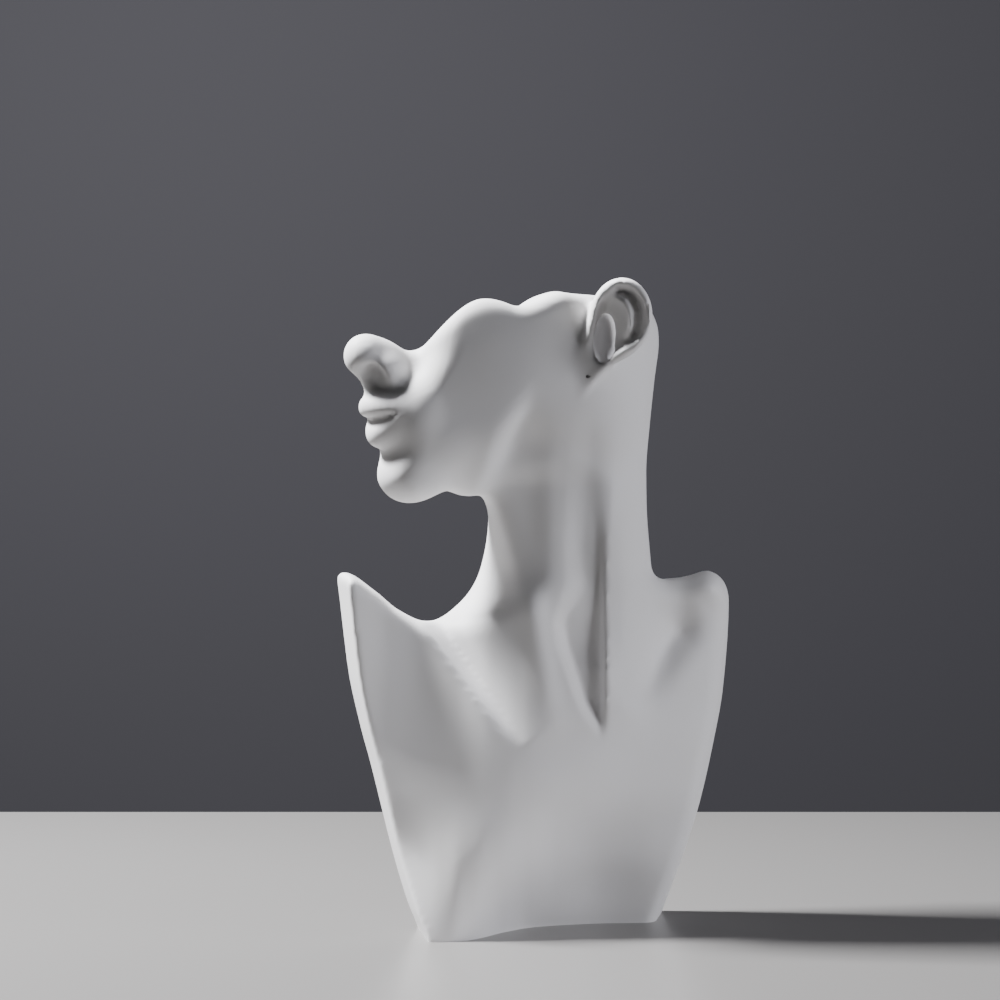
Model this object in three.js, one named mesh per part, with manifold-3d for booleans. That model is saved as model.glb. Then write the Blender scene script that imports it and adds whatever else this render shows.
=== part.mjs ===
import * as THREE from "three";
import { mergeVertices } from "three/addons/utils/BufferGeometryUtils.js";
import Module from "manifold-3d";

// Half-face display bust, cast as one solid piece. Sizes are millimetres, +Z is up,
// the viewer stands on the -Y side and the face looks towards -X.
// The form is one smooth field: below zero is cast resin, above zero is air. Simple masses
// are blended, hollows are carved out of them, and the skin of the field is then meshed.

// Grid step of the first, even skin, and the number of facets it is thinned down to.
const GRID_STEP = 2.5;
const FACET_LIMIT = 9300;

// Where the head sits on the neck, and how far the face turns towards the viewer.
const HEAD_X = 14;
const HEAD_Y = 16;
const HEAD_TURN = (24 * Math.PI) / 180;

// The finished bust is moved so that the middle of its underside is the origin.
const UNDERSIDE_MIDDLE = [-6, 4, 0];

// Chest shield: side walls, top line and front surface, each as [position, value] pairs.
const LEFT_WALL = [
  [-8, -60.5], [0, -62.7], [15, -68.3], [43, -76], [90, -85.8],
  [113, -91.3], [140, -96], [189, -102], [200, -103.5],
];
const LEFT_WALL_LEAN = [[0, 0.14], [43, 0.16], [90, 0.2], [113, 0.215], [140, 0.245], [200, 0.26]];
const LEFT_WALL_FRONT_Y = -60;
const RIGHT_WALL = [[-8, 63.5], [0, 67], [58, 87.5], [98, 96.8], [127, 102], [166, 105.3], [200, 106.3]];
const RIGHT_WALL_LEAN = 0.15;
const RIGHT_WALL_BACK_Y = 52;
const TOP_LINE = [
  [-120, 197], [-108, 194.5], [-93, 184.5], [-80, 174], [-66, 168], [-48, 167],
  [-20, 174], [40, 186], [66, 189.5], [78, 191], [94, 195.6], [110, 195.8],
];
const FRONT_AT_BASE = [
  [-75, -61], [-62, -60], [-50, -58], [-39, -50], [-23, -25],
  [-9, -8.5], [4, -1.4], [28, 5.6], [60, 10], [90, 16],
];
const FRONT_AT_FOOT = [
  [-84, -45], [-76, -46.5], [-66, -48.8], [-56, -51.5], [-46, -53.5], [-38, -53],
  [-26, -48.5], [-10, -38], [6, -24], [28, -10], [60, 1], [90, 15],
];
const FRONT_AT_MIDDLE = [
  [-115, -44], [-95, -43.5], [-80, -44], [-65, -45], [-50, -46], [-36, -46.8],
  [-22, -45.5], [-10, -42.5], [0, -39], [20, -30], [40, -20], [75, -3], [104, 14],
];
const FRONT_AT_TOP = [
  [-120, -50], [-104, -44], [-84, -35], [-66, -32], [-48, -34], [-30, -37],
  [-12, -35], [6, -24], [40, -12], [75, 6], [108, 26],
];
const PROFILE_HEIGHTS = [0, 43, 78, 175];
const BACK_LINE = [[-120, -6], [-69, -2], [-20, 36], [20, 51], [66, 56], [108, 54]];

// Neck column: half widths, place of its middle, and the throat tube in front of it.
const NECK_MIDDLE_X = [[140, 14], [190, 13], [232, 12.6], [262, 11.2], [300, 13.4], [330, 17]];
const NECK_MIDDLE_Y = [[100, 10], [150, 15], [220, 20]];
const NECK_HALF_X = [[140, 48], [190, 46.5], [232, 44], [262, 44], [300, 44.5], [330, 45]];
const NECK_HALF_Y = [[100, 34], [150, 38], [220, 41], [270, 46], [320, 48]];
const THROAT_TOP = [-10, 2, 246];
const THROAT_BOTTOM = [15, -6, 140];
const THROAT_RADIUS = 25;
// The front of the throat is flat, and it is turned a little to the viewer's left.
const THROAT_FLAT_Y = [[140, -48], [165, -30], [190, -22], [215, -18], [240, -17], [262, -30]];
const THROAT_FLAT_TURN = -0.07;

// Valley and hollow beside the neck muscle: its left limit, how wide it falls away and its
// depth by height. Its right limit is the sharp edge of the muscle.
const MUSCLE_EDGE_X = 30.5;
const VALLEY_LEFT_X = [
  [104, 29], [114, 22], [125, 16], [136, 12], [147, 8], [157, 4.5], [168, 3],
  [180, 6], [190, 9], [205, 8], [225, 9], [290, 12],
];
const VALLEY_DEPTH = [
  [104, 0], [114, 5], [125, 9], [136, 11], [150, 12], [165, 10], [176, 7],
  [190, 5], [210, 4.5], [235, 3.5], [262, 1.5], [285, 0],
];

// Head: half breadth, reach to the front and to the back, the flat front of the face and
// the flat of the cheek by height. The two flats meet in the edge beside nose and mouth.
const HEAD_PLAN_MIDDLE = 20;
const HEAD_BACK_REACH = [[250, 42], [270, 45.5], [300, 49.5], [330, 54]];
const HEAD_FRONT_REACH = [[225, 75], [236, 88], [246, 97], [258, 103], [270, 105]];
const HEAD_HALF_BREADTH = [[236, 42], [258, 45], [280, 47], [300, 50], [345, 53]];
const FACE_FRONT = [
  [225, 84], [236, 97], [246, 105], [258, 106], [272, 105.5],
  [287, 103.5], [298, 99.5], [314, 94.5], [326, 93.5], [345, 92],
];
const CHEEK_FLAT = [
  [225, 50], [236, 57.5], [245, 63.5], [255, 67.8], [270, 70.3],
  [300, 71.2], [314, 71.2], [330, 70], [345, 68],
];

function clamp(value, low, high) {
  return Math.min(Math.max(value, low), high);
}

function mix(a, b, t) {
  return a + (b - a) * t;
}

function ramp(from, to, value) {
  const t = clamp((value - from) / (to - from), 0, 1);
  return t * t * (3 - 2 * t);
}

function bump(distance, reach) {
  return Math.exp(-(distance * distance) / (reach * reach));
}

function join(a, b, blend) {
  const h = Math.max(blend - Math.abs(a - b), 0) / blend;
  return Math.min(a, b) - (h * h * blend) / 4;
}

function meet(a, b, blend) {
  return -join(-a, -b, blend);
}

// A smooth line through [position, value] pairs that never overshoots between them.
function along(pairs, position) {
  const last = pairs.length - 1;
  if (position <= pairs[0][0]) return pairs[0][1];
  if (position >= pairs[last][0]) return pairs[last][1];
  let i = 0;
  while (position > pairs[i + 1][0]) i += 1;
  const step = (k) => (pairs[k + 1][1] - pairs[k][1]) / (pairs[k + 1][0] - pairs[k][0]);
  const slope = (k) => {
    if (k === 0) return step(0);
    if (k === last) return step(last - 1);
    const before = step(k - 1);
    const after = step(k);
    return before * after <= 0 ? 0 : (2 * before * after) / (before + after);
  };
  const width = pairs[i + 1][0] - pairs[i][0];
  const t = (position - pairs[i][0]) / width;
  const t2 = t * t;
  const t3 = t2 * t;
  return (
    (2 * t3 - 3 * t2 + 1) * pairs[i][1] +
    (t3 - 2 * t2 + t) * width * slope(i) +
    (3 * t2 - 2 * t3) * pairs[i + 1][1] +
    (t3 - t2) * width * slope(i + 1)
  );
}

// How far a point of the front view lies from a straight stroke, and how far along it.
function stroke(x, z, x0, z0, x1, z1) {
  const dx = x1 - x0;
  const dz = z1 - z0;
  const length = Math.hypot(dx, dz);
  const t = ((x - x0) * dx + (z - z0) * dz) / (length * length);
  const side = ((x - x0) * dz - (z - z0) * dx) / length;
  return { t, side };
}

function capsule(x, y, z, from, to, r0, r1) {
  const dx = to[0] - from[0];
  const dy = to[1] - from[1];
  const dz = to[2] - from[2];
  const px = x - from[0];
  const py = y - from[1];
  const pz = z - from[2];
  const t = clamp((px * dx + py * dy + pz * dz) / (dx * dx + dy * dy + dz * dz), 0, 1);
  return Math.hypot(px - dx * t, py - dy * t, pz - dz * t) - mix(r0, r1, t);
}

function ellipsoid(x, y, z, centre, half) {
  const px = (x - centre[0]) / half[0];
  const py = (y - centre[1]) / half[1];
  const pz = (z - centre[2]) / half[2];
  const k0 = Math.hypot(px, py, pz);
  const k1 = Math.hypot(px / half[0], py / half[1], pz / half[2]);
  return k1 > 0 ? (k0 * (k0 - 1)) / k1 : -half[1];
}

// Smooth curve in z through the four profiles of the shield at one place across it.
function throughProfiles(values, z) {
  const gap = (i) => PROFILE_HEIGHTS[i + 1] - PROFILE_HEIGHTS[i];
  const steps = [0, 1, 2].map((i) => (values[i + 1] - values[i]) / gap(i));
  const slopes = [steps[0], (steps[0] + steps[1]) / 2, (steps[1] + steps[2]) / 2, 0];
  const i = PROFILE_HEIGHTS.filter((height, k) => k === 0 || (k < 3 && z > height)).length - 1;
  const span = gap(i);
  const t = clamp((z - PROFILE_HEIGHTS[i]) / span, 0, 1);
  const rise = values[i + 1] - values[i];
  const bend = (1 - t) * (slopes[i] * span - rise) - t * (slopes[i + 1] * span - rise);
  return values[i] + rise * t + t * (1 - t) * bend;
}

// Front surface of the shield: how far back it lies at each place of the front view.
function frontY(x, z) {
  const profiles = [FRONT_AT_BASE, FRONT_AT_FOOT, FRONT_AT_MIDDLE, FRONT_AT_TOP];
  let y = throughProfiles(profiles.map((profile) => along(profile, x)), z);
  // Above the collar line the surface drops back to a shelf that catches the light.
  const collar = stroke(x, z, -65, 167, -20, 106);
  const fade = ramp(-0.3, 0, collar.t) * (1 - clamp(collar.t / 1.1, 0, 1));
  y += 20 * fade * ramp(2.5, -6, collar.side) * Math.exp(-Math.max(0, -collar.side) / 60);
  // Hollow over the right collar bone, and the cap of the right shoulder beyond it.
  const rightHollow = stroke(x, z, 42, 128, 82, 172);
  const hollowFade = ramp(-0.1, 0.25, rightHollow.t) * (1 - ramp(0.75, 1.1, rightHollow.t));
  y += 12 * bump(rightHollow.side, 11) * hollowFade;
  y -= 12 * bump(x - 94, 18) * bump(z - 187, 11);
  // A soft hollow just above the middle of the base.
  y += 4 * bump(x - 32, 34) * bump(z - 20, 18);
  return y;
}

function chestField(x, y, z) {
  const front = (frontY(x, z) - y) * 0.9;
  const back = (y - along(BACK_LINE, x) + 4 * ramp(100, 190, z)) * 0.85;
  const leftWall = along(LEFT_WALL, z) - along(LEFT_WALL_LEAN, z) * (y - LEFT_WALL_FRONT_Y) - x;
  const rightWall = x - along(RIGHT_WALL, z) + RIGHT_WALL_LEAN * (RIGHT_WALL_BACK_Y - y);
  const top = (z - along(TOP_LINE, x)) * 0.9;
  let chest = meet(front, leftWall, 2.4);
  chest = meet(chest, rightWall, 7);
  chest = meet(chest, back, 6);
  return meet(chest, top, mix(6, 9, ramp(-90, -60, x)) + 10 * ramp(52, 78, x));
}

function neckField(x, y, z) {
  const middleX = along(NECK_MIDDLE_X, z);
  const halfX = along(NECK_HALF_X, z);
  const middleY = along(NECK_MIDDLE_Y, z);
  const halfY = along(NECK_HALF_Y, z);
  const ring = Math.hypot((x - middleX) / halfX, (y - middleY) / halfY) - 1;
  let column = ring * 41;
  column = meet(column, z - 335, 26);
  column = meet(column, 96 - z, 40);
  const throat = capsule(x, y, z, THROAT_TOP, THROAT_BOTTOM, THROAT_RADIUS, 21);
  const flank = capsule(x, y, z, [8, 22, 204], [-48, 4, 145], 31, 12);
  const round = join(join(column, flank, 12), throat, 8);
  return meet(round, along(THROAT_FLAT_Y, z) + THROAT_FLAT_TURN * (x + 15) - y, 5);
}

// Height of the wavy cut that ends the head, over the plan of the head.
function cutHeight(a, b) {
  const cheekCrest = 26 * bump(a - 67, a > 67 ? 27 : 31) * ramp(-6, 34, b);
  const shifted = a + 27 * ramp(10, -50, b) - 5 * ramp(20, 50, b);
  const crest = mix(25, 22, ramp(15, 55, b)) - 6 * ramp(0, -50, b);
  const backCrest = crest * ramp(51, 20, shifted) * (1 - 0.25 * ramp(6, -40, a));
  const overNose = 14 * ramp(99, 115, a);
  return 316 + cheekCrest + backCrest + overNose;
}

function headField(a, b, z) {
  const side = Math.abs(b);
  const forward = a > HEAD_PLAN_MIDDLE;
  const reach = along(forward ? HEAD_FRONT_REACH : HEAD_BACK_REACH, z);
  const square = forward ? 2 : 2.3;
  const breadth = along(HEAD_HALF_BREADTH, z);
  const pa = Math.abs(a - HEAD_PLAN_MIDDLE) / reach;
  const pb = side / breadth;
  let head = (Math.pow(Math.pow(pa, square) + Math.pow(pb, square), 1 / square) - 1) * breadth;
  // The cheek is almost flat from the angle of the jaw to the edge of the face.
  head = meet(head, 0.47 * a + 0.883 * side - along(CHEEK_FLAT, z), 9);
  head += 1.5 * bump(a - 74, 20) * bump(z - 280, 26) * ramp(20, 34, side);
  head = meet(head, a - along(FACE_FRONT, z) + 0.005 * b * b, 7);
  // Underside of the jaw: lowest under the chin, higher along the sides.
  const under = 235 + 5 * ramp(100, 70, a) + 18 * ramp(6, 40, side) + 24 * ramp(66, 42, a);
  head = meet(head, (under - z) * 0.85, 17);
  // Chin, and the mound of the mouth.
  head = join(head, ellipsoid(a, b, z, [99, 0, 246.8], [13.2, 17, 13.6]), 14);
  head = join(head, ellipsoid(a, b, z, [97, 0, 281], [19, 27, 24]), 8);
  // Lips: an upper roll with a crisp top edge, and a fuller lower roll.
  const lipEnd = Math.sqrt(Math.max(0.02, 1 - (side / 27) ** 2)) - 0.6 * ramp(20, 33, side);
  const upperA = 117.2 - 0.0255 * b * b;
  const upperZ = 284.3 - 0.004 * b * b;
  head = join(head, Math.hypot((a - upperA) * 0.95, z - upperZ) - 7.2 * lipEnd, 4);
  const lowerA = 113.6 - 0.0225 * b * b;
  const lowerZ = 269.8 + 0.02 * b * b;
  head = join(head, Math.hypot(a - lowerA, (z - lowerZ) * 0.9) - 7 * lipEnd, 4);
  const partZ = 277.2 + 0.0085 * b * b;
  const partA = 124 - 0.028 * b * b;
  const partRadius = 1.3 - 3.6 * ramp(14, 31, side);
  head = meet(head, partRadius - Math.hypot((a - partA) * 0.22, z - partZ), 2);
  // Nose: bridge, tip and wings, with nostrils carved up into the slanting underside.
  head = join(head, capsule(a, b, z, [121.6, 0, 311.6], [95, 0, 304.5], 12.1, 11.5), 8);
  head = join(head, capsule(a, b, z, [122.5, 0, 301], [118.5, 0, 293], 3.5, 3.5), 4);
  head = join(head, ellipsoid(a, side, z, [113, 9.5, 302.8], [10.5, 7, 8.4]), 5);
  head = meet(head, -ellipsoid(a, side, z, [124, 10.5, 299], [9, 6.5, 6.5]), 5);
  head = meet(head, -ellipsoid(a, side, z, [119.5, 9, 303], [4.5, 3.4, 5]), 2.5);
  // Everything ends at the wavy cut.
  head = meet(head, (z - cutHeight(a, b)) * 0.85, 8);
  return head;
}

// The ear the viewer sees: an upper oval run together with a slanting lobe.
const EAR_OVAL = [-2, 331.5];
const EAR_OVAL_HALF = [18, 20.5];
const EAR_LOBE = [24, 297.5];
const EAR_BOWL = [8, 58, 321];
const EAR_BOWL_HALF = [6, 12, 14];
function earField(a, b, z) {
  // The ear flares towards the face, and its outline is the one that the viewer sees.
  const u = a - 0.445 * (b - 58);
  const ovalA = (u - EAR_OVAL[0]) / EAR_OVAL_HALF[0];
  const ovalZ = (z - EAR_OVAL[1]) / EAR_OVAL_HALF[1];
  const oval = (Math.hypot(ovalA, ovalZ) - 1) * 17;
  const slant = capsule(u, 0, z, [6, 0, 320], [EAR_LOBE[0], 0, EAR_LOBE[1]], 12.5, 8);
  const edge = join(oval, slant, 8);
  // Rim, inner ridge and bowl are heights on the outer face of a flaring shell.
  const flare = 53 + 0.62 * (22 - u) + 0.2 * (z - 300);
  const high = ramp(300, 316, z);
  const rim = 3.4 * bump(edge + 2.4, 2.2) * mix(0.25, 1, high) * ramp(20, 12, u);
  const ridgeRing = Math.hypot((u - 4) / 11, (z - 328) / 15.5) - 1;
  const ridge = 3.6 * bump(ridgeRing * 12, 2.4) * high * ramp(11, 2, u);
  const bowl = 6 * bump(u - 6, 7) * bump(z - 325, 14);
  const furrow = 3.6 * bump(edge + 6.3, 2.2) * high * ramp(8, -2, u);
  const face = flare + rim + ridge - bowl - furrow;
  const thickness = 9 + 8 * ramp(3, 21, u) + 8 * ramp(316, 296, z);
  const shell = meet(b - face, face - thickness - b, 3);
  return meet(shell, edge, 3);
}

// Hollows (above zero) and ridges (below zero) cut into the front of the neck.
function neckRelief(x, z) {
  // Neck muscle: a band whose left edge is sharp. Left of it lies a valley, deepest at its
  // far side, that opens into a hollow and closes to a point over the breastbone.
  const edge = mix(2.4, 7, ramp(190, 250, z));
  const left = along(VALLEY_LEFT_X, z);
  const fall = mix(8, 14, ramp(165, 185, z));
  const wall = ramp(MUSCLE_EDGE_X - edge, MUSCLE_EDGE_X + edge, x);
  const shallower = 1 - 0.45 * clamp((x - left) / (MUSCLE_EDGE_X - left), 0, 1);
  const band = wall * (1 - ramp(40, 62, x));
  let depth = along(VALLEY_DEPTH, z) * ramp(left, left + fall, x) * shallower * (1 - wall);
  depth -= 2 * band * ramp(95, 130, z) * (1 - ramp(200, 245, z));
  // A soft ridge left of the valley, high on the neck.
  depth -= 1.8 * bump(x - 2, 8) * ramp(170, 200, z) * (1 - ramp(240, 290, z));
  // Breastbone ridge.
  const bone = stroke(x, z, -8, 186, 5, 105);
  depth -= 3.5 * bump(bone.side, 7.5) * ramp(-0.1, 0.2, bone.t) * (1 - ramp(0.5, 1.1, bone.t));
  return depth;
}

function field(x, y, z) {
  const cosTurn = Math.cos(HEAD_TURN);
  const sinTurn = Math.sin(HEAD_TURN);
  const a = -cosTurn * (x - HEAD_X) - sinTurn * (y - HEAD_Y);
  const b = sinTurn * (x - HEAD_X) - cosTurn * (y - HEAD_Y);
  const chest = chestField(x, y, z);
  const neck = neckField(x, y, z);
  // The neck runs into the near shoulder with a tight corner and sweeps into the far one.
  let body = join(chest, neck, mix(25, 9, ramp(-20, 45, x)));
  if (z > 195) body = join(body, headField(a, b, z), 30);
  if (z > 260 && b > 30) {
    body = join(body, earField(a, b, z), 3);
    body = meet(body, -ellipsoid(a, b, z, EAR_BOWL, EAR_BOWL_HALF), 3);
  }
  return body + neckRelief(x, z) * (1 - ramp(6, 26, y));
}

// The skin of the field.
const LOW = [-123, -72, -6];
const HIGH = [115, 80, 363];

function dot(p, q) {
  return p[0] * q[0] + p[1] * q[1] + p[2] * q[2];
}

function normalOf(p, q, r) {
  const u = [q[0] - p[0], q[1] - p[1], q[2] - p[2]];
  const v = [r[0] - p[0], r[1] - p[1], r[2] - p[2]];
  return [u[1] * v[2] - u[2] * v[1], u[2] * v[0] - u[0] * v[2], u[0] * v[1] - u[1] * v[0]];
}

function distance(p, q) {
  return Math.hypot(p[0] - q[0], p[1] - q[1], p[2] - q[2]);
}

// Step across a grid of cells, each cut into six tetrahedra, and lay a facet or two
// where the field changes sign inside one. Shared corners keep the skin closed.
function evenSkin() {
  const count = LOW.map((low, k) => Math.ceil((HIGH[k] - low) / GRID_STEP) + 1);
  const [nx, ny, nz] = count;
  const values = new Float64Array(nx * ny * nz);
  for (let k = 0; k < nz; k += 1) {
    for (let j = 0; j < ny; j += 1) {
      for (let i = 0; i < nx; i += 1) {
        const value = field(LOW[0] + i * GRID_STEP, LOW[1] + j * GRID_STEP, LOW[2] + k * GRID_STEP);
        const cap = k === 0 ? Math.max(value, 1) : value;
        values[i + nx * (j + ny * k)] = Math.abs(cap) < 0.05 ? 0.05 : cap;
      }
    }
  }
  const points = [];
  const facets = [];
  const cornerOf = new Map();
  const place = (node) => [
    LOW[0] + (node % nx) * GRID_STEP,
    LOW[1] + (Math.floor(node / nx) % ny) * GRID_STEP,
    LOW[2] + Math.floor(node / (nx * ny)) * GRID_STEP,
  ];
  const crossing = (p, q) => {
    const key = p < q ? p * values.length + q : q * values.length + p;
    if (cornerOf.has(key)) return cornerOf.get(key);
    const t = values[p] / (values[p] - values[q]);
    const a = place(p);
    const b = place(q);
    points.push([mix(a[0], b[0], t), mix(a[1], b[1], t), mix(a[2], b[2], t)]);
    cornerOf.set(key, points.length - 1);
    return points.length - 1;
  };
  const layFacet = (a, b, c, inside) => {
    const normal = normalOf(points[a], points[b], points[c]);
    const away = dot(normal, points[a]) - dot(normal, inside);
    facets.push(away > 0 ? [a, b, c] : [a, c, b]);
  };
  const steps = [1, nx, nx * ny];
  const orders = [[0, 1, 2], [1, 2, 0], [2, 0, 1], [0, 2, 1], [1, 0, 2], [2, 1, 0]];
  for (let k = 0; k < nz - 1; k += 1) {
    for (let j = 0; j < ny - 1; j += 1) {
      for (let i = 0; i < nx - 1; i += 1) {
        const corner = i + nx * (j + ny * k);
        for (const [first, second] of orders) {
          const one = corner + steps[first];
          const tetra = [corner, one, one + steps[second], corner + steps[0] + steps[1] + steps[2]];
          const inner = tetra.filter((node) => values[node] < 0);
          const outer = tetra.filter((node) => values[node] > 0);
          if (inner.length === 0 || outer.length === 0) continue;
          const inside = place(inner[0]);
          if (inner.length === 1) {
            layFacet(...outer.map((node) => crossing(inner[0], node)), inside);
          } else if (inner.length === 3) {
            layFacet(...inner.map((node) => crossing(node, outer[0])), inside);
          } else {
            const ring = [[0, 0], [0, 1], [1, 1], [1, 0]].map(([p, q]) => crossing(inner[p], outer[q]));
            layFacet(ring[0], ring[1], ring[2], inside);
            layFacet(ring[0], ring[2], ring[3], place(inner[0]));
          }
        }
      }
    }
  }
  return { points, facets };
}

// Move a point along the slope of the field until it lies on the skin.
function settle(point, times) {
  let [x, y, z] = point;
  const reach = 0.05;
  for (let n = 0; n < times; n += 1) {
    const value = field(x, y, z);
    const gx = (field(x + reach, y, z) - field(x - reach, y, z)) / (2 * reach);
    const gy = (field(x, y + reach, z) - field(x, y - reach, z)) / (2 * reach);
    const gz = (field(x, y, z + reach) - field(x, y, z - reach)) / (2 * reach);
    const steep = Math.max(gx * gx + gy * gy + gz * gz, 0.05);
    const pull = clamp(value / steep, -0.8, 0.8);
    x -= pull * gx;
    y -= pull * gy;
    z -= pull * gz;
  }
  return [x, y, z];
}

// Thin the skin: the edge whose loss bends the form least is folded away first.
function thinSkin({ points, facets }) {
  const quadric = points.map(() => new Float64Array(10));
  const around = points.map(() => new Set());
  const alive = facets.map(() => true);
  const plane = (facet) => {
    const [p, q, r] = facet.map((v) => points[v]);
    const normal = normalOf(p, q, r);
    const length = Math.hypot(...normal) || 1e-12;
    const unit = normal.map((value) => value / length);
    return [...unit, -dot(unit, p), length / 2];
  };
  facets.forEach((facet, index) => {
    const [a, b, c, d, area] = plane(facet);
    const terms = [a * a, a * b, a * c, a * d, b * b, b * c, b * d, c * c, c * d, d * d];
    for (const v of facet) {
      around[v].add(index);
      terms.forEach((term, k) => {
        quadric[v][k] += term * area;
      });
    }
  });
  const costAt = (q, [x, y, z]) =>
    q[0] * x * x + 2 * q[1] * x * y + 2 * q[2] * x * z + 2 * q[3] * x + q[4] * y * y +
    2 * q[5] * y * z + 2 * q[6] * y + q[7] * z * z + 2 * q[8] * z + q[9];
  const version = new Int32Array(points.length);
  const heap = [];
  const higher = (a, b) => heap[a].cost < heap[b].cost;
  const swap = (a, b) => {
    [heap[a], heap[b]] = [heap[b], heap[a]];
  };
  const pushEdge = (a, b) => {
    const q = quadric[a].map((value, k) => value + quadric[b][k]);
    const spots = [points[a], points[b], points[a].map((value, k) => (value + points[b][k]) / 2)];
    let best = spots[0];
    let cost = Infinity;
    for (const spot of spots) {
      const here = costAt(q, spot);
      if (here < cost) {
        cost = here;
        best = spot;
      }
    }
    cost += 1e-4 * distance(points[a], points[b]) ** 2;
    heap.push({ cost, a, b, spot: best, stamp: version[a] + version[b] });
    let child = heap.length - 1;
    while (child > 0) {
      const parent = (child - 1) >> 1;
      if (!higher(child, parent)) break;
      swap(child, parent);
      child = parent;
    }
  };
  const popEdge = () => {
    const top = heap[0];
    const end = heap.pop();
    if (heap.length > 0) {
      heap[0] = end;
      let parent = 0;
      for (;;) {
        const left = 2 * parent + 1;
        const right = left + 1;
        let next = parent;
        if (left < heap.length && higher(left, next)) next = left;
        if (right < heap.length && higher(right, next)) next = right;
        if (next === parent) break;
        swap(parent, next);
        parent = next;
      }
    }
    return top;
  };
  const neighbours = (v) => {
    const found = new Set([...around[v]].flatMap((index) => facets[index]));
    found.delete(v);
    return found;
  };
  for (let v = 0; v < points.length; v += 1) {
    for (const w of neighbours(v)) {
      if (v < w) pushEdge(v, w);
    }
  }
  const turnsOver = (v, other, spot) => {
    for (const index of around[v]) {
      const facet = facets[index];
      if (facet.includes(other)) continue;
      const before = plane(facet);
      const start = points[v];
      points[v] = spot;
      const after = plane(facet);
      const [p, q, r] = facet.map((w) => points[w]);
      points[v] = start;
      const longest = Math.max(distance(p, q), distance(q, r), distance(r, p));
      const sliver = after[4] < 0.05 * longest * longest;
      if (sliver && after[4] <= before[4]) return true;
      if (before[4] > 0.02 && dot(before, after) < 0.4) return true;
    }
    return false;
  };
  let left = facets.length;
  while (left > FACET_LIMIT && heap.length > 0) {
    const { a, b, spot, stamp } = popEdge();
    if (version[a] < 0 || version[b] < 0 || stamp !== version[a] + version[b]) continue;
    const near = neighbours(b);
    if (!near.has(a)) continue;
    const shared = [...neighbours(a)].filter((v) => near.has(v));
    if (shared.length !== 2 || turnsOver(a, b, spot) || turnsOver(b, a, spot)) continue;
    points[a] = spot;
    quadric[a] = quadric[a].map((value, k) => value + quadric[b][k]);
    for (const index of around[b]) {
      const facet = facets[index];
      if (facet.includes(a)) {
        alive[index] = false;
        left -= 1;
        for (const v of facet.filter((w) => w !== b)) around[v].delete(index);
      } else {
        facet[facet.indexOf(b)] = a;
        around[a].add(index);
      }
    }
    around[b].clear();
    version[b] = -1;
    version[a] += 1;
    for (const v of neighbours(a)) pushEdge(a, v);
  }
  return { points, facets: facets.filter((_, index) => alive[index]) };
}

const even = evenSkin();
even.points = even.points.map((point) => settle(point, 2));
const skin = thinSkin(even);
const kept = new Map();
const corners = [];
const order = [];
for (const facet of skin.facets) {
  for (const v of facet) {
    if (!kept.has(v)) {
      kept.set(v, kept.size);
      corners.push(...settle(skin.points[v], 4));
    }
    order.push(kept.get(v));
  }
}

const wasm = await Module();
wasm.setup();

function solidFrom(positions, indices) {
  const vertProperties = new Float32Array(positions);
  const triVerts = new Uint32Array(indices);
  return new wasm.Manifold(new wasm.Mesh({ numProp: 3, vertProperties, triVerts }));
}

// A plain block or rod with its seams sewn, so that it can be cut from the cast.
function solidFromGeometry(geometry) {
  geometry.deleteAttribute("normal");
  geometry.deleteAttribute("uv");
  const sewn = mergeVertices(geometry, 1e-4);
  return solidFrom(sewn.attributes.position.array, sewn.index.array);
}

// The bust is sawn off flat where it stands.
const ground = new THREE.BoxGeometry(400, 300, 60);
ground.translate(0, 0, -30);

// The pierced lobe: a short blind hole square to the side of the head.
const HOLE_A = 16.2;
const HOLE_Z = 300.2;
const hole = new THREE.CylinderGeometry(1, 1, 14, 16);
const sideways = new THREE.Vector3(Math.sin(HEAD_TURN), -Math.cos(HEAD_TURN), 0);
const forwards = new THREE.Vector3(-Math.cos(HEAD_TURN), -Math.sin(HEAD_TURN), 0);
hole.applyQuaternion(new THREE.Quaternion().setFromUnitVectors(new THREE.Vector3(0, 1, 0), sideways));
const holeMiddle = new THREE.Vector3(HEAD_X, HEAD_Y, HOLE_Z).addScaledVector(forwards, HOLE_A);
holeMiddle.addScaledVector(sideways, 54.5);
hole.translate(holeMiddle.x, holeMiddle.y, holeMiddle.z);

const cast = solidFrom(corners, order)
  .subtract(solidFromGeometry(ground))
  .subtract(solidFromGeometry(hole))
  .getMesh();
const geometry = new THREE.BufferGeometry();
geometry.setAttribute("position", new THREE.BufferAttribute(new Float32Array(cast.vertProperties), 3));
geometry.setIndex(new THREE.BufferAttribute(new Uint32Array(cast.triVerts), 1));
geometry.translate(-UNDERSIDE_MIDDLE[0], -UNDERSIDE_MIDDLE[1], -UNDERSIDE_MIDDLE[2]);

const bust = new THREE.Mesh(
  geometry,
  new THREE.MeshStandardMaterial({ color: 0xe9e8e9, roughness: 0.62, metalness: 0 }),
);
bust.name = "half_face_bust";

const group = new THREE.Group();
group.add(bust);

export default group;
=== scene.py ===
# %% [markdown]
# # Half-face display bust
#
# This lesson builds the looks of a white display bust for earrings and necklaces. Shops use such busts
# because a plain form without eyes or hair lets the jewellery speak. The bust is one casting: a
# shield-shaped chest, a long neck and a turned head that is cut off in a wave, from the nose over the
# cheek to the ear.
#
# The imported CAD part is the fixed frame. It is brought in first and it is never moved or changed.

import math

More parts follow.
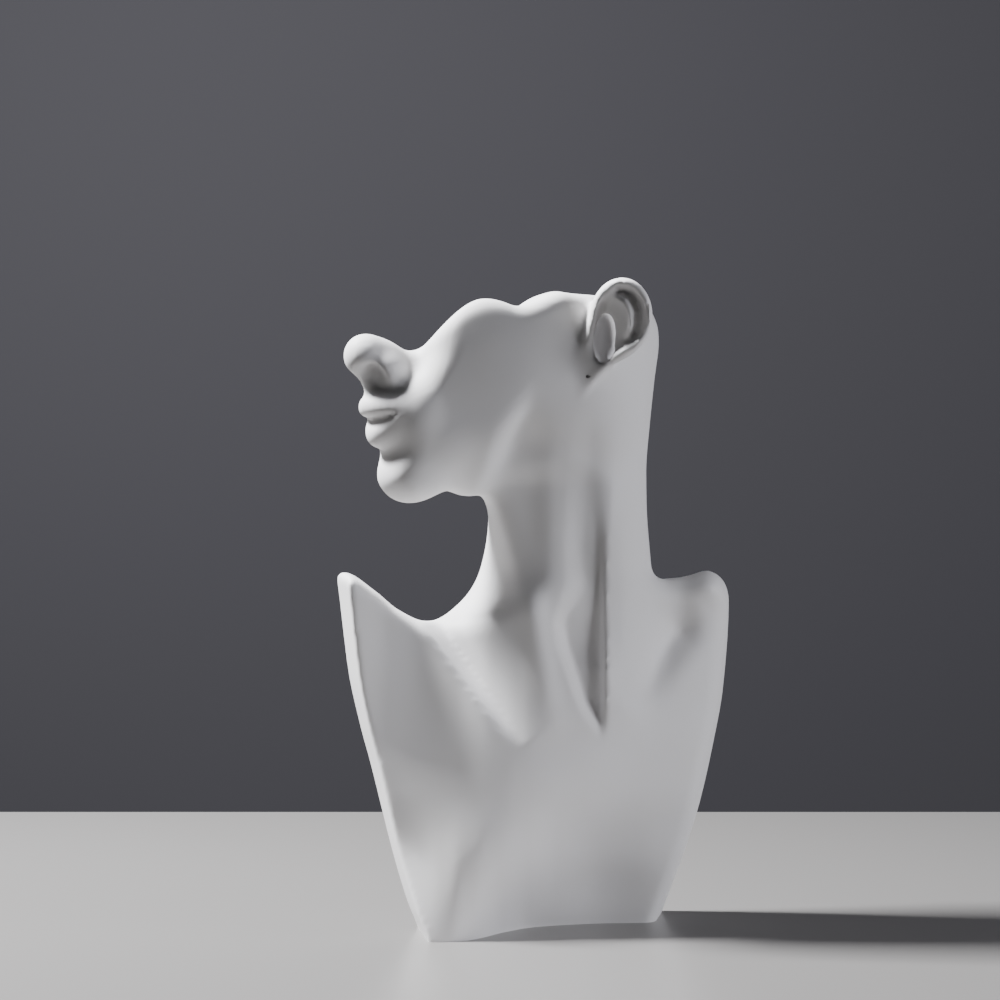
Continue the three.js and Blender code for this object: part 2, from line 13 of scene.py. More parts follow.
import bpy
import numpy as np
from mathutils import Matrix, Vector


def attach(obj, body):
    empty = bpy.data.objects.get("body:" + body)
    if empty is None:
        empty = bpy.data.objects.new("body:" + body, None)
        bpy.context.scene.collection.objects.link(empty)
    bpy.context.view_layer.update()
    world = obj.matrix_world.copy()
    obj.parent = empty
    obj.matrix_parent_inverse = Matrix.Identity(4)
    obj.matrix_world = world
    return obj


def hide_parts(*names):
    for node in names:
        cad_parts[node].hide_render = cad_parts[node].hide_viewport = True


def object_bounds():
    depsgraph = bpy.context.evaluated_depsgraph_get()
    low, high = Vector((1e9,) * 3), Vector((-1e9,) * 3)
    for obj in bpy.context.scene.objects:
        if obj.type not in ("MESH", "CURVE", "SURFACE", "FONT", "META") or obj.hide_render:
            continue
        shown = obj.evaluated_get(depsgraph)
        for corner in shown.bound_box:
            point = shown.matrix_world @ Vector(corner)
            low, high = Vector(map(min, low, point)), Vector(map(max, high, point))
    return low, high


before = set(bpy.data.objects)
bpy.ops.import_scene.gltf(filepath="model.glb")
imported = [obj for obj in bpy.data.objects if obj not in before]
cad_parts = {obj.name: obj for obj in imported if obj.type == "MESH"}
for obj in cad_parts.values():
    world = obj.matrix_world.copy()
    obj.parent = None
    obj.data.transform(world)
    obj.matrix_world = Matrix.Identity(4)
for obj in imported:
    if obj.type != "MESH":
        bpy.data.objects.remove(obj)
cad_low, cad_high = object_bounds()
print("CAD box, mm:", [round(v * 1000, 1) for v in (*cad_low, *cad_high)])

# %% [markdown]
# ## The camera
#
# The view is level, as from a chair in front of the table, and about one and a half metres away. A long
# lens from that distance keeps the nose and the ear at nearly the same scale. The camera is made first,
# so that everything after it can be judged from the same place.

# %%
CAMERA_PLACE = (-0.019, -1.564, 0.234)
LENS_MM = 102.1

bpy.ops.object.camera_add(location=CAMERA_PLACE, rotation=(math.pi / 2, 0, 0))
camera = bpy.context.object
camera.name = "camera"
camera.data.lens = LENS_MM
camera.data.sensor_width = 36.0
camera.data.clip_start = 0.05
camera.data.clip_end = 20.0
bpy.context.scene.camera = camera
print("camera at", CAMERA_PLACE, "with a", LENS_MM, "mm lens")

# %% [markdown]
# ## The form as one smooth field
#
# A sculptor builds a bust from simple masses, lets them flow into each other and then carves. The same
# can be written down as a field: a number for every point of space that is below zero inside the cast
# and above zero outside it. Masses are joined with a soft minimum, hollows are cut with a soft maximum,
# and the size of the blend says how tight the corner between them is.
#
# The sizes are millimetres in the sculptor's own frame. Its origin lies near the middle of the foot.

# %%
SCULPTOR_ORIGIN = np.array([6.0, -4.0, 0.0])

HEAD_X = 14
HEAD_Y = 16
HEAD_TURN = math.radians(24)

LEFT_WALL = [
    [-8, -60.5], [0, -62.7], [15, -68.3], [43, -76], [90, -85.8],
    [113, -91.3], [140, -96], [189, -102], [200, -103.5],
]
LEFT_WALL_LEAN = [[0, 0.14], [43, 0.16], [90, 0.2], [113, 0.215], [140, 0.245], [200, 0.26]]
LEFT_WALL_FRONT_Y = -60
RIGHT_WALL = [[-8, 63.5], [0, 67], [58, 87.5], [98, 96.8], [127, 102], [166, 105.3], [200, 106.3]]
RIGHT_WALL_LEAN = 0.15
RIGHT_WALL_BACK_Y = 52
TOP_LINE = [
    [-120, 197], [-108, 194.5], [-93, 184.5], [-80, 174], [-66, 168], [-48, 167],
    [-20, 174], [40, 186], [66, 189.5], [78, 191], [94, 195.6], [110, 195.8],
]
FRONT_AT_BASE = [
    [-75, -61], [-62, -60], [-50, -58], [-39, -50], [-23, -25],
    [-9, -8.5], [4, -1.4], [28, 5.6], [60, 10], [90, 16],
]
FRONT_AT_FOOT = [
    [-84, -45], [-76, -46.5], [-66, -48.8], [-56, -51.5], [-46, -53.5], [-38, -53],
    [-26, -48.5], [-10, -38], [6, -24], [28, -10], [60, 1], [90, 15],
]
FRONT_AT_MIDDLE = [
    [-115, -44], [-95, -43.5], [-80, -44], [-65, -45], [-50, -46], [-36, -46.8],
    [-22, -45.5], [-10, -42.5], [0, -39], [20, -30], [40, -20], [75, -3], [104, 14],
]
FRONT_AT_TOP = [
    [-120, -50], [-104, -44], [-84, -35], [-66, -32], [-48, -34], [-30, -37],
    [-12, -35], [6, -24], [40, -12], [75, 6], [108, 26],
]
PROFILE_HEIGHTS = [0, 43, 78, 175]
COLLAR_LINE = (-65, 167, -20, 106)
RIGHT_HOLLOW_LINE = (42, 128, 82, 172)
SHELF_DEPTH = 20
BACK_LINE = [[-120, -6], [-69, -2], [-20, 36], [20, 51], [66, 56], [108, 54]]

NECK_MIDDLE_X = [[140, 14], [190, 13], [232, 12.6], [262, 11.2], [300, 13.4], [330, 17]]
NECK_MIDDLE_Y = [[100, 10], [150, 15], [220, 20]]
NECK_HALF_X = [[140, 48], [190, 46.5], [232, 44], [262, 44], [300, 44.5], [330, 45]]
NECK_HALF_Y = [[100, 34], [150, 38], [220, 41], [270, 46], [320, 48]]
THROAT_TOP = (-10, 2, 246)
THROAT_BOTTOM = (15, -6, 140)
THROAT_RADIUS = 25
THROAT_FLAT_Y = [[140, -48], [165, -30], [190, -22], [215, -18], [240, -17], [262, -30]]
THROAT_FLAT_TURN = -0.07
FLANK_TOP = (8, 22, 204)
FLANK_BOTTOM = (-48, 4, 145)

MUSCLE_EDGE_X = 30.5
RIDGE_LINE = (-8, 186, 5, 105)
VALLEY_LEFT_X = [
    [104, 29], [114, 22], [125, 16], [136, 12], [147, 8], [157, 4.5], [168, 3],
    [180, 6], [190, 9], [205, 8], [225, 9], [290, 12],
]
VALLEY_DEPTH = [
    [104, 0], [114, 5], [125, 9], [136, 11], [150, 12], [165, 10], [176, 7],
    [190, 5], [210, 4.5], [235, 3.5], [262, 1.5], [285, 0],
]

HEAD_PLAN_MIDDLE = 20
HEAD_BACK_REACH = [[250, 42], [270, 45.5], [300, 49.5], [330, 54]]
HEAD_FRONT_REACH = [[225, 75], [236, 88], [246, 97], [258, 103], [270, 105]]
HEAD_HALF_BREADTH = [[236, 42], [258, 45], [280, 47], [300, 50], [345, 53]]
FACE_FRONT = [
    [225, 84], [236, 97], [246, 105], [258, 106], [272, 105.5],
    [287, 103.5], [298, 99.5], [314, 94.5], [326, 93.5], [345, 92],
]
CHEEK_FLAT = [
    [225, 50], [236, 57.5], [245, 63.5], [255, 67.8], [270, 70.3],
    [300, 71.2], [314, 71.2], [330, 70], [345, 68],
]

EAR_OVAL = (-2, 331.5)
EAR_OVAL_HALF = (18, 20.5)
EAR_LOBE = (24, 297.5)
EAR_BOWL = (8, 58, 321)
EAR_BOWL_HALF = (6, 12, 14)


def mix(a, b, t):
    return a + (b - a) * t


def ramp(start, end, value):
    """0 at start, 1 at end, with soft ends."""
    t = np.clip((value - start) / (end - start), 0, 1)
    return t * t * (3 - 2 * t)


def bump(distance, reach):
    """1 in the middle, fading to nothing beyond about twice the reach."""
    return np.exp(-((distance / reach) ** 2))


def join(a, b, blend):
    """Two masses run together. The corner between them is filled over the blend."""
    h = np.maximum(blend - np.abs(a - b), 0) / blend
    return np.minimum(a, b) - h * h * blend / 4


def meet(a, b, blend):
    """What two masses share, with the edge eased off over the blend."""
    return -join(-a, -b, blend)


def along(pairs, position):
    """A smooth line through (position, value) pairs that never overshoots between them."""
    knots = np.array(pairs, dtype=float)
    at, value = knots[:, 0], knots[:, 1]
    step = np.diff(value) / np.diff(at)
    before, after = step[:-1], step[1:]
    turns = before * after <= 0
    middle = np.where(turns, 0, 2 * before * after / np.where(turns, 1, before + after))
    slope = np.concatenate([step[:1], middle, step[-1:]])
    position = np.clip(position, at[0], at[-1])
    i = np.clip(np.searchsorted(at, position) - 1, 0, len(at) - 2)
    width = at[i + 1] - at[i]
    t = (position - at[i]) / width
    t2, t3 = t * t, t * t * t
    return (
        (2 * t3 - 3 * t2 + 1) * value[i]
        + (t3 - 2 * t2 + t) * width * slope[i]
        + (3 * t2 - 2 * t3) * value[i + 1]
        + (t3 - t2) * width * slope[i + 1]
    )


def stroke(x, z, x0, z0, x1, z1):
    """(how far along, how far beside) a straight stroke of the front view."""
    dx, dz = x1 - x0, z1 - z0
    length = math.hypot(dx, dz)
    return ((x - x0) * dx + (z - z0) * dz) / length**2, ((x - x0) * dz - (z - z0) * dx) / length


def capsule(x, y, z, start, end, r0, r1):
    dx, dy, dz = (end[k] - start[k] for k in range(3))
    px, py, pz = x - start[0], y - start[1], z - start[2]
    t = np.clip((px * dx + py * dy + pz * dz) / (dx * dx + dy * dy + dz * dz), 0, 1)
    return np.sqrt((px - dx * t) ** 2 + (py - dy * t) ** 2 + (pz - dz * t) ** 2) - mix(r0, r1, t)


def ellipsoid(x, y, z, centre, half):
    px, py, pz = ((v - centre[k]) / half[k] for k, v in enumerate((x, y, z)))
    k0 = np.sqrt(px**2 + py**2 + pz**2)
    k1 = np.sqrt((px / half[0]) ** 2 + (py / half[1]) ** 2 + (pz / half[2]) ** 2)
    return k0 * (k0 - 1) / np.maximum(k1, 1e-9)


print("the field's tools are ready: join, meet, ramp, bump, along")

# %% [markdown]
# ### The chest
#
# The chest is a shield between two leaning side walls, a top line and a front surface. The front surface
# says how far back the skin lies at each place of the front view. It runs smoothly through four profiles
# from the base to the shoulders, and the shelf above the collar line and the hollow over the right
# collar bone are added to it.

# %%
def through_profiles(values, z):
    """Smooth curve in z through the four profiles of the shield, at each place across it."""
    heights = PROFILE_HEIGHTS
    steps = [(values[i + 1] - values[i]) / (heights[i + 1] - heights[i]) for i in range(3)]
    slopes = [steps[0], (steps[0] + steps[1]) / 2, (steps[1] + steps[2]) / 2, 0 * steps[0]]
    pick = (z > heights[1]).astype(int) + (z > heights[2])
    span = np.choose(pick, [heights[i + 1] - heights[i] for i in range(3)])
    t = np.clip((z - np.choose(pick, heights[:3])) / span, 0, 1)
    start = np.choose(pick, values[:3])
    rise = np.choose(pick, values[1:]) - start
    slope_in, slope_out = np.choose(pick, slopes[:3]) * span, np.choose(pick, slopes[1:]) * span
    bend = (1 - t) * (slope_in - rise) - t * (slope_out - rise)
    return start + rise * t + t * (1 - t) * bend


def front_y(x, z):
    profiles = (FRONT_AT_BASE, FRONT_AT_FOOT, FRONT_AT_MIDDLE, FRONT_AT_TOP)
    y = through_profiles([along(profile, x) for profile in profiles], z)
    t, side = stroke(x, z, *COLLAR_LINE)
    fade = ramp(-0.3, 0, t) * (1 - np.clip(t / 1.1, 0, 1))
    y = y + SHELF_DEPTH * fade * ramp(2.5, -6, side) * np.exp(-np.maximum(0, -side) / 60)
    t, side = stroke(x, z, *RIGHT_HOLLOW_LINE)
    y = y + 12 * bump(side, 11) * ramp(-0.1, 0.25, t) * (1 - ramp(0.75, 1.1, t))
    y = y - 12 * bump(x - 94, 18) * bump(z - 187, 11)
    return y + 4 * bump(x - 32, 34) * bump(z - 20, 18)


def chest_field(x, y, z):
    front = (front_y(x, z) - y) * 0.9
    back = (y - along(BACK_LINE, x) + 4 * ramp(100, 190, z)) * 0.85
    left = along(LEFT_WALL, z) - along(LEFT_WALL_LEAN, z) * (y - LEFT_WALL_FRONT_Y) - x
    right = x - along(RIGHT_WALL, z) + RIGHT_WALL_LEAN * (RIGHT_WALL_BACK_Y - y)
    top = (z - along(TOP_LINE, x)) * 0.9
    chest = meet(meet(front, left, 2.4), right, 7)
    chest = meet(chest, back, 6)
    return meet(chest, top, mix(6, 9, ramp(-90, -60, x)) + 10 * ramp(52, 78, x))


# %% [markdown]
# ### The neck
#
# The neck is an oval column with the throat as a rod in front of it, cut flat, and the far shoulder
# muscle as a rod that runs down to the left. The band of the neck muscle has one sharp edge. The valley
# beside it grows wider and deeper on its way down and ends in a point on the chest, and a low ridge runs
# along its other side. They are worked into the front only.

# %%
def neck_field(x, y, z):
    middle_x, half_x = along(NECK_MIDDLE_X, z), along(NECK_HALF_X, z)
    middle_y, half_y = along(NECK_MIDDLE_Y, z), along(NECK_HALF_Y, z)
    column = (np.hypot((x - middle_x) / half_x, (y - middle_y) / half_y) - 1) * 41
    column = meet(column, z - 335, 26)
    column = meet(column, 96 - z, 40)
    throat = capsule(x, y, z, THROAT_TOP, THROAT_BOTTOM, THROAT_RADIUS, 21)
    flank = capsule(x, y, z, FLANK_TOP, FLANK_BOTTOM, 31, 12)
    rounded = join(join(column, flank, 12), throat, 8)
    return meet(rounded, along(THROAT_FLAT_Y, z) + THROAT_FLAT_TURN * (x + 15) - y, 5)


def neck_relief(x, z):
    edge = mix(2.4, 7, ramp(190, 250, z))
    left = along(VALLEY_LEFT_X, z)
    fall = mix(8, 14, ramp(165, 185, z))
    wall = ramp(MUSCLE_EDGE_X - edge, MUSCLE_EDGE_X + edge, x)
    shallower = 1 - 0.45 * np.clip((x - left) / (MUSCLE_EDGE_X - left), 0, 1)
    band = wall * (1 - ramp(40, 62, x))
    depth = along(VALLEY_DEPTH, z) * ramp(left, left + fall, x) * shallower * (1 - wall)
    depth = depth - 2 * band * ramp(95, 130, z) * (1 - ramp(200, 245, z))
    depth = depth - 1.8 * bump(x - 2, 8) * ramp(170, 200, z) * (1 - ramp(240, 290, z))
    t, side = stroke(x, z, *RIDGE_LINE)
    return depth - 3.5 * bump(side, 7.5) * ramp(-0.1, 0.2, t) * (1 - ramp(0.5, 1.1, t))


# %% [markdown]
# ### The head and the ear
#
# The head has its own directions: a runs forward out of the face, b towards the viewer's side. Its plan
# is an oval that two flats cut: the front of the face and the cheek, which meet beside nose and mouth.
# Mouth, nose and chin are small masses joined to it, and one wavy height cuts everything off. The ear
# is a shell that flares towards the face, with rim, ridge and bowl worked into its outer side.

# %%
def cut_height(a, b):
    cheek_crest = 26 * bump(a - 67, np.where(a > 67, 27, 31)) * ramp(-6, 34, b)
    shifted = a + 27 * ramp(10, -50, b) - 5 * ramp(20, 50, b)
    crest = mix(25, 22, ramp(15, 55, b)) - 6 * ramp(0, -50, b)
    back_crest = crest * ramp(51, 20, shifted) * (1 - 0.25 * ramp(6, -40, a))
    return 316 + cheek_crest + back_crest + 14 * ramp(99, 115, a)


def head_field(a, b, z):
    side = np.abs(b)
    forward = a > HEAD_PLAN_MIDDLE
    reach = np.where(forward, along(HEAD_FRONT_REACH, z), along(HEAD_BACK_REACH, z))
    square = np.where(forward, 2, 2.3)
    breadth = along(HEAD_HALF_BREADTH, z)
    pa, pb = np.abs(a - HEAD_PLAN_MIDDLE) / reach, side / breadth
    head = ((pa**square + pb**square) ** (1 / square) - 1) * breadth
    head = meet(head, 0.47 * a + 0.883 * side - along(CHEEK_FLAT, z), 9)
    head = head + 1.5 * bump(a - 74, 20) * bump(z - 280, 26) * ramp(20, 34, side)
    head = meet(head, a - along(FACE_FRONT, z) + 0.005 * b * b, 7)
    under = 235 + 5 * ramp(100, 70, a) + 18 * ramp(6, 40, side) + 24 * ramp(66, 42, a)
    head = meet(head, (under - z) * 0.85, 17)
    head = join(head, ellipsoid(a, b, z, (99, 0, 246.8), (13.2, 17, 13.6)), 14)
    head = join(head, ellipsoid(a, b, z, (97, 0, 281), (19, 27, 24)), 8)
    lip_end = np.sqrt(np.maximum(0.02, 1 - (side / 27) ** 2)) - 0.6 * ramp(20, 33, side)
    upper = np.hypot((a - 117.2 + 0.0255 * b * b) * 0.95, z - 284.3 + 0.004 * b * b)
    head = join(head, upper - 7.2 * lip_end, 4)
    lower = np.hypot(a - 113.6 + 0.0225 * b * b, (z - 269.8 - 0.02 * b * b) * 0.9)
    head = join(head, lower - 7 * lip_end, 4)
    part = np.hypot((a - 124 + 0.028 * b * b) * 0.22, z - 277.2 - 0.0085 * b * b)
    head = meet(head, 1.3 - 3.6 * ramp(14, 31, side) - part, 2)
    head = join(head, capsule(a, b, z, (121.6, 0, 311.6), (95, 0, 304.5), 12.1, 11.5), 8)
    head = join(head, capsule(a, b, z, (122.5, 0, 301), (118.5, 0, 293), 3.5, 3.5), 4)
    head = join(head, ellipsoid(a, side, z, (113, 9.5, 302.8), (10.5, 7, 8.4)), 5)
    head = meet(head, -ellipsoid(a, side, z, (124, 10.5, 299), (9, 6.5, 6.5)), 5)
    head = meet(head, -ellipsoid(a, side, z, (119.5, 9, 303), (4.5, 3.4, 5)), 2.5)
    return meet(head, (z - cut_height(a, b)) * 0.85, 8)


def ear_field(a, b, z):
    u = a - 0.445 * (b - 58)
    oval_a, oval_z = (u - EAR_OVAL[0]) / EAR_OVAL_HALF[0], (z - EAR_OVAL[1]) / EAR_OVAL_HALF[1]
    oval = (np.hypot(oval_a, oval_z) - 1) * 17
    edge = join(oval, capsule(u, 0, z, (6, 0, 320), (EAR_LOBE[0], 0, EAR_LOBE[1]), 12.5, 8), 8)
    flare = 53 + 0.62 * (22 - u) + 0.2 * (z - 300)
    high = ramp(300, 316, z)
    rim = 3.4 * bump(edge + 2.4, 2.2) * mix(0.25, 1, high) * ramp(20, 12, u)
    ridge_ring = np.hypot((u - 4) / 11, (z - 328) / 15.5) - 1
    ridge = 3.6 * bump(ridge_ring * 12, 2.4) * high * ramp(11, 2, u)
    bowl = 6 * bump(u - 6, 7) * bump(z - 325, 14)
    furrow = 3.6 * bump(edge + 6.3, 2.2) * high * ramp(8, -2, u)
    face = flare + rim + ridge - bowl - furrow
    thickness = 9 + 8 * ramp(3, 21, u) + 8 * ramp(316, 296, z)
    return meet(meet(b - face, face - thickness - b, 3), edge, 3)


def field(points):
    """The whole bust. Points are rows of x, y, z in millimetres in the sculptor's frame."""
    x, y, z = points.T
    cos_turn, sin_turn = math.cos(HEAD_TURN), math.sin(HEAD_TURN)
    a = -cos_turn * (x - HEAD_X) - sin_turn * (y - HEAD_Y)
    b = sin_turn * (x - HEAD_X) - cos_turn * (y - HEAD_Y)
    body = join(chest_field(x, y, z), neck_field(x, y, z), mix(25, 9, ramp(-20, 45, x)))
    body = np.where(z > 195, join(body, head_field(a, b, z), 30), body)
    eared = join(body, ear_field(a, b, z), 3)
    eared = meet(eared, -ellipsoid(a, b, z, EAR_BOWL, EAR_BOWL_HALF), 3)
    body = np.where((z > 260) & (b > 30), eared, body)
    return body + neck_relief(x, z) * (1 - ramp(6, 26, y))


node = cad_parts["half_face_bust"]
corners = np.empty(len(node.data.vertices) * 3)
node.data.vertices.foreach_get("co", corners)
corners = corners.reshape(-1, 3) * 1000 - SCULPTOR_ORIGIN
off = np.abs(field(corners))[corners[:, 2] > 0.5]
print("half of the solid's corners lie within", round(float(np.median(off)), 4), "mm of the field")

# %% [markdown]
# ## The skin of the cast
#
# A casting shows every soft transition of its mould, and the solid's facets are too coarse for that. So
# a copy of the solid is wrapped in an even, fine mesh and each of its points is moved along the slope of
# the field until it lies on the skin. The form stays the solid's, and only the facets go.
#
# The underside is first drawn down a little and is cut flat again later, the way a real cast is drawn
# from the mould with a rough foot and is then sanded flat.

# %%
MESH_STEP = 0.00155
EDGE_RUBS = 5
SETTLE_ROUNDS = 4
SETTLE_ABOVE_Z = -4
EXTRA_BELOW = 0.006

bpy.ops.object.select_all(action="DESELECT")
node.select_set(True)
bpy.context.view_layer.objects.active = node
bpy.ops.object.duplicate()
cast = bpy.context.object
cast.name = "bust_cast"
cast.data.materials.clear()
cast.parent = None
cast.matrix_world.identity()
bpy.ops.object.mode_set(mode="EDIT")
bpy.ops.mesh.select_all(action="SELECT")
bpy.ops.mesh.remove_doubles(threshold=1e-6)
bpy.ops.mesh.normals_make_consistent(inside=False)
bpy.ops.object.mode_set(mode="OBJECT")


def points_of(mesh):
    flat = np.empty(len(mesh.vertices) * 3)
    mesh.vertices.foreach_get("co", flat)
    return flat.reshape(-1, 3)


def put_points(mesh, points):
    mesh.vertices.foreach_set("co", np.ascontiguousarray(points, dtype=np.float32).ravel())
    mesh.update()


def apply_modifier(piece, kind, **settings):
    bpy.ops.object.select_all(action="DESELECT")
    piece.select_set(True)
    bpy.context.view_layer.objects.active = piece
    modifier = piece.modifiers.new(kind.lower(), kind)
    for key, value in settings.items():
        setattr(modifier, key, value)
    bpy.ops.object.modifier_apply(modifier=modifier.name)


points = points_of(cast.data)
points[:, 2] = np.where(points[:, 2] < 1e-5, -EXTRA_BELOW, points[:, 2])
put_points(cast.data, points)
apply_modifier(cast, "REMESH", mode="VOXEL", voxel_size=MESH_STEP)


def slope_of(places):
    reach = 0.05
    steps = np.eye(3) * reach
    return np.stack([(field(places + s) - field(places - s)) / (2 * reach) for s in steps], axis=1)


def settle(places, times):
    """Moves each point along the slope of the field until it lies on the skin."""
    for _ in range(times):
        slope = slope_of(places)
        steep = np.maximum((slope**2).sum(axis=1), 0.05)
        pull = np.clip(field(places) / steep, -0.8, 0.8)
        places = places - pull[:, None] * slope
    return places


places = points_of(cast.data) * 1000 - SCULPTOR_ORIGIN
free = places[:, 2] > SETTLE_ABOVE_Z
places[free] = settle(places[free], SETTLE_ROUNDS)
put_points(cast.data, (places + SCULPTOR_ORIGIN) / 1000)
# The fine mesh comes out ragged on the sharp edges, so its points are smoothed a little.
apply_modifier(cast, "SMOOTH", factor=0.5, iterations=EDGE_RUBS)
print("fine skin:", len(cast.data.vertices), "points, a point every", MESH_STEP * 1000, "mm")

# %% [markdown]
# ## The flat underside and the pierced lobe
#
# Two cuts finish the form. A block takes everything below the table level away, which leaves one flat
# face to stand on. A thin rod makes the hole in the ear lobe, square to the side of the head.

# %%
HOLE_A = 16.2
HOLE_Z = 300.2
HOLE_MIDDLE_B = 54.5
HOLE_RADIUS = 0.001
HOLE_LENGTH = 0.014


def cut_away(piece, tool):
    apply_modifier(piece, "BOOLEAN", operation="DIFFERENCE", solver="EXACT", object=tool)
    bpy.ops.object.select_all(action="DESELECT")
    tool.select_set(True)
    bpy.ops.object.delete()


bpy.ops.mesh.primitive_cube_add(size=1, location=(0, 0, -0.03))
ground = bpy.context.object
ground.scale = (0.4, 0.3, 0.06)
cut_away(cast, ground)

sideways = (math.sin(HEAD_TURN), -math.cos(HEAD_TURN))
forwards = (-math.cos(HEAD_TURN), -math.sin(HEAD_TURN))
hole_x = HEAD_X + HOLE_A * forwards[0] + HOLE_MIDDLE_B * sideways[0] + SCULPTOR_ORIGIN[0]
hole_y = HEAD_Y + HOLE_A * forwards[1] + HOLE_MIDDLE_B * sideways[1] + SCULPTOR_ORIGIN[1]
bpy.ops.mesh.primitive_cylinder_add(
    vertices=24,
    radius=HOLE_RADIUS,
    depth=HOLE_LENGTH,
    location=(hole_x / 1000, hole_y / 1000, HOLE_Z / 1000),
    rotation=(math.pi / 2, 0, HEAD_TURN),
)
cut_away(cast, bpy.context.object)

points = points_of(cast.data)
low, high = np.array(cad_low), np.array(cad_high)
beyond = np.maximum(np.maximum(low - points, points - high), 0).max()
put_points(cast.data, np.clip(points, low, high))
bpy.ops.object.select_all(action="DESELECT")
cast.select_set(True)
bpy.context.view_layer.objects.active = cast
bpy.ops.object.shade_smooth_by_angle(angle=math.radians(50))
facets = sum(len(face.vertices) - 2 for face in cast.data.polygons)
print("facets:", facets, "- held inside the solid's box by at most", round(beyond * 1000, 3), "mm")

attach(cast, "root")
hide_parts("half_face_bust")

# %% [markdown]
# ## White matte resin
#
# The bust is polyresin: polyester resin thickened with stone powder, poured into a rubber mould. It
# comes out cream and a little patchy, so it is rubbed down and sprayed with a white matte lacquer. That
# gives a colour just short of white, a dull sheen, and a very fine orange-peel texture from the spray.
# The patches are kept faint here, and light isn't let into the skin.

# %%
def linear(hex_colour):
    parts = [int(hex_colour[i : i + 2], 16) / 255 for i in (1, 3, 5)]
    return [p / 12.92 if p <= 0.04045 else ((p + 0.055) / 1.055) ** 2.4 for p in parts] + [1.0]


def add(material, kind, **inputs):
    """Adds a node and sets its sockets and properties."""
    made = material.node_tree.nodes.new(kind)
    for key, value in inputs.items():
        name = key.replace("_", " ")
        if name in made.inputs:
            made.inputs[name].default_value = value
        else:
            setattr(made, key, value)
    return made


def per_mm(size_mm):
    """The noise scale at which one blob is that many millimetres wide."""
    return 1000.0 / size_mm


LACQUER_WHITE = "#ebeaeb"
LACQUER_THIN = "#e6e4e2"
PATCH_MM = 34
PEEL_MM = 0.9
PEEL_HEIGHT = 0.00001

resin = bpy.data.materials.new("white_matte_resin")
resin.use_nodes = True
links = resin.node_tree.links
shader = resin.node_tree.nodes["Principled BSDF"]
shader.inputs["IOR"].default_value = 1.5
shader.inputs["Specular IOR Level"].default_value = 0.35

where = add(resin, "ShaderNodeTexCoord")
patches = add(resin, "ShaderNodeTexNoise", Scale=per_mm(PATCH_MM), Detail=3.0, Roughness=0.5)
tone = add(resin, "ShaderNodeMix", data_type="RGBA")
tone.inputs[6].default_value = linear(LACQUER_WHITE)
tone.inputs[7].default_value = linear(LACQUER_THIN)
links.new(where.outputs["Object"], patches.inputs["Vector"])
links.new(patches.outputs["Fac"], tone.inputs[0])
links.new(tone.outputs[2], shader.inputs["Base Color"])

sheen = add(resin, "ShaderNodeMapRange", From_Min=0.3, From_Max=0.7, To_Min=0.55, To_Max=0.66)
links.new(patches.outputs["Fac"], sheen.inputs["Value"])
links.new(sheen.outputs["Result"], shader.inputs["Roughness"])

peel = add(resin, "ShaderNodeTexNoise", Scale=per_mm(PEEL_MM), Detail=2.0, Roughness=0.5)
relief = add(resin, "ShaderNodeBump", Strength=0.5, Distance=PEEL_HEIGHT)
links.new(where.outputs["Object"], peel.inputs["Vector"])
links.new(peel.outputs["Fac"], relief.inputs["Height"])
links.new(relief.outputs["Normal"], shader.inputs["Normal"])

cast.data.materials.clear()
cast.data.materials.append(resin)
print("resin:", LACQUER_WHITE, "to", LACQUER_THIN, "in patches of about", PATCH_MM, "mm")

# %% [markdown]
# ## A plain table top and a grey wall
#
# A pale top throws light back up under the jaw, and a darker wall makes the white outline stand out.
# The top ends just outside the picture, because a wide one throws back so much light that the carving
# looks flat. Both are plain, and they aren't part of the bust.

# %%
TABLE_BACK_Y = 0.563
TABLE_WIDTH = 1.05
TABLE_DEPTH = 0.83
TABLE_COLOUR = "#83817f"
WALL_COLOUR = "#2f2e32"
WALL_WIDTH = 7.0
WALL_HEIGHT = 5.0
WALL_PLACE = (0, 1.5, 0.8)


def plain_material(name, colour, roughness):
    made = bpy.data.materials.new(name)
    made.use_nodes = True
    surface = made.node_tree.nodes["Principled BSDF"]
    surface.inputs["Base Color"].default_value = linear(colour)
    surface.inputs["Roughness"].default_value = roughness
    return made


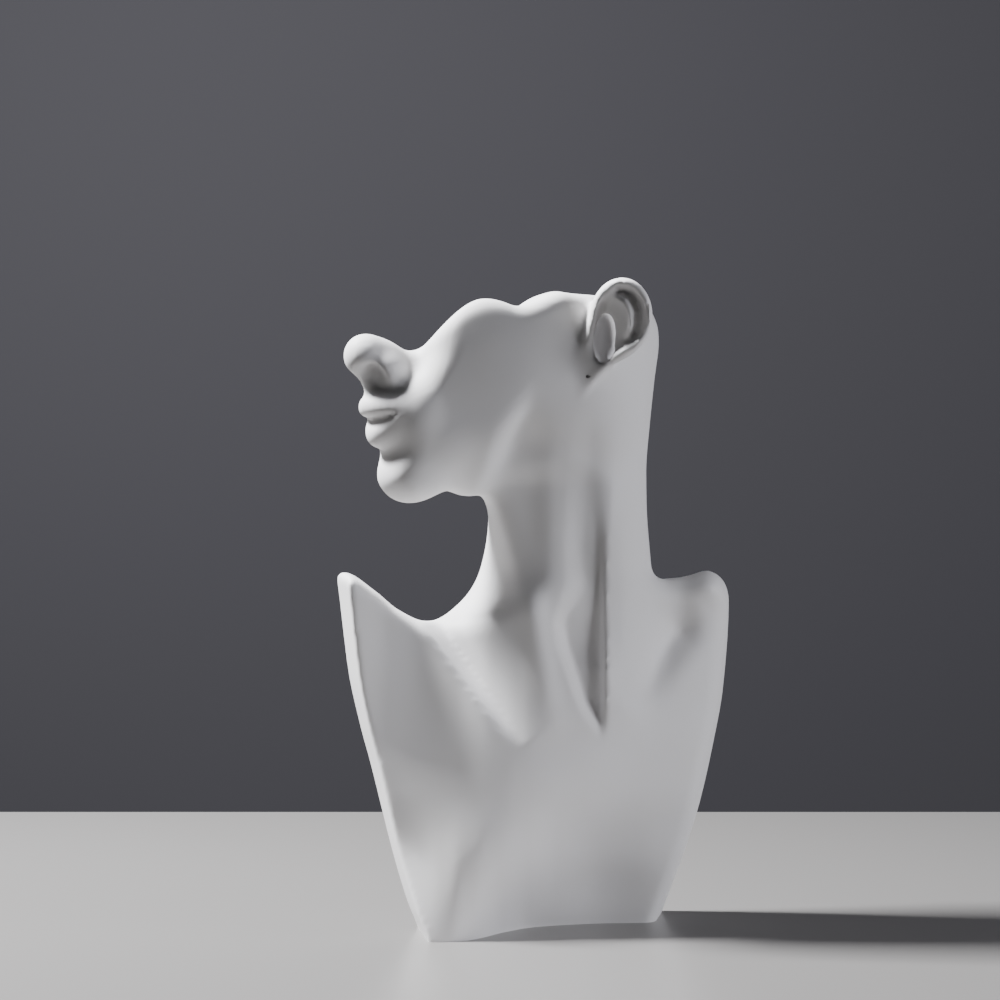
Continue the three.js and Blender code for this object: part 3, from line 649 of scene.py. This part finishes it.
bpy.ops.object.select_all(action="DESELECT")
bpy.ops.mesh.primitive_plane_add(size=1, location=(0, 0, 0))
table = bpy.context.object
table.name = "table_top"
table.scale = (TABLE_WIDTH, TABLE_DEPTH, 1)
table.location = (0, TABLE_BACK_Y - TABLE_DEPTH / 2, 0)
bpy.ops.object.transform_apply(location=True, rotation=True, scale=True)
table.data.materials.append(plain_material("table_grey", TABLE_COLOUR, 0.3))

bpy.ops.mesh.primitive_plane_add(size=1, location=(0, 0, 0))
wall = bpy.context.object
wall.name = "wall"
wall.scale = (WALL_WIDTH, WALL_HEIGHT, 1)
wall.rotation_euler = (math.pi / 2, 0, 0)
wall.location = WALL_PLACE
bpy.ops.object.transform_apply(location=True, rotation=True, scale=True)
wall.data.materials.append(plain_material("wall_grey", WALL_COLOUR, 0.9))
print("table top ends at y =", TABLE_BACK_Y, "m")

# %% [markdown]
# ## The light
#
# White on white is drawn by light alone. The main lamp stands high on the left and a little behind the
# bust, so it only grazes what faces the viewer: the rim of the shield, the shelf above the collar line
# and the front of the face are bright, and the rest falls into half shade. A weaker, wider lamp low on
# the right lights everything that turns to the right, up to the sharp edge of the neck muscle.

# %%
LOOK_AT = (0.0, 0.0, 0.2)
KEY_COLOUR = (0.96, 0.97, 1.0)
FILL_COLOUR = (0.92, 0.93, 1.0)
ROOM_COLOUR = (0.9, 0.95, 1.0, 1)
ROOM_LIGHT = 0.012


def soft_lamp(name, azimuth, elevation, distance, size, power, colour):
    """Azimuth 0 is the camera's side and 90 the right. Angles in degrees, sizes in metres."""
    a, e = math.radians(azimuth), math.radians(elevation)
    out = (math.sin(a) * math.cos(e), -math.cos(a) * math.cos(e), math.sin(e))
    place = [LOOK_AT[k] + out[k] * distance for k in range(3)]
    bpy.ops.object.light_add(type="AREA", location=place)
    lamp = bpy.context.object
    lamp.name = name
    lamp.data.shape = "SQUARE"
    lamp.data.size = size
    lamp.data.energy = power
    lamp.data.color = colour
    lamp.rotation_euler = (math.pi / 2 - e, 0, a)


soft_lamp("key_left", -97, 53, 1.6, 0.3, 150, KEY_COLOUR)
soft_lamp("fill_right", 71, 12, 2.2, 1.0, 35, FILL_COLOUR)

world = bpy.data.worlds.new("room")
bpy.context.scene.world = world
world.use_nodes = True
world.node_tree.nodes["Background"].inputs["Color"].default_value = ROOM_COLOUR
world.node_tree.nodes["Background"].inputs["Strength"].default_value = ROOM_LIGHT
